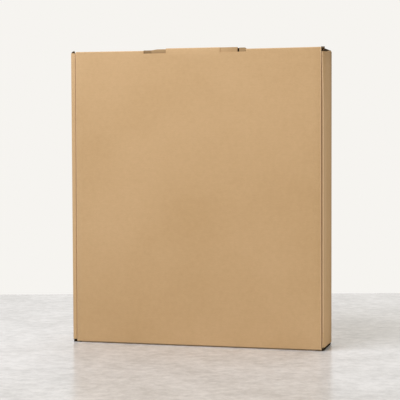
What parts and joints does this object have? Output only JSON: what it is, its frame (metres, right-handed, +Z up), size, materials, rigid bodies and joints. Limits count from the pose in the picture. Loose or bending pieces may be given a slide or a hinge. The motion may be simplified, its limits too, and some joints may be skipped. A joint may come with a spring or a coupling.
{
  "type": "pizza box",
  "caption": "Closed kraft corrugated pizza box with rolled-over side walls, standing on its hinge edge, with a lid that folds open towards the front.",
  "frame": {"origin": "centre of the box's footprint, on the surface that its hinge edge stands on", "axes": "+X along the box's width, +Y from the lid to the base panel, +Z up from the hinge edge to the tuck edge"},
  "size_m": [0.31, 0.058, 0.3546],
  "materials": {
    "board": "matte kraft"
  },
  "bodies": {
    "tray": {"tray": "board"},
    "lid": {"lid": "board"}
  },
  "joints": [
    {"name": "lid_hinge", "type": "hinge", "parent": "tray", "child": "lid", "pos_m": [0, -0.02825, 0.00075], "axis": [1, 0, 0], "range_deg": [0, 90]}
  ]
}
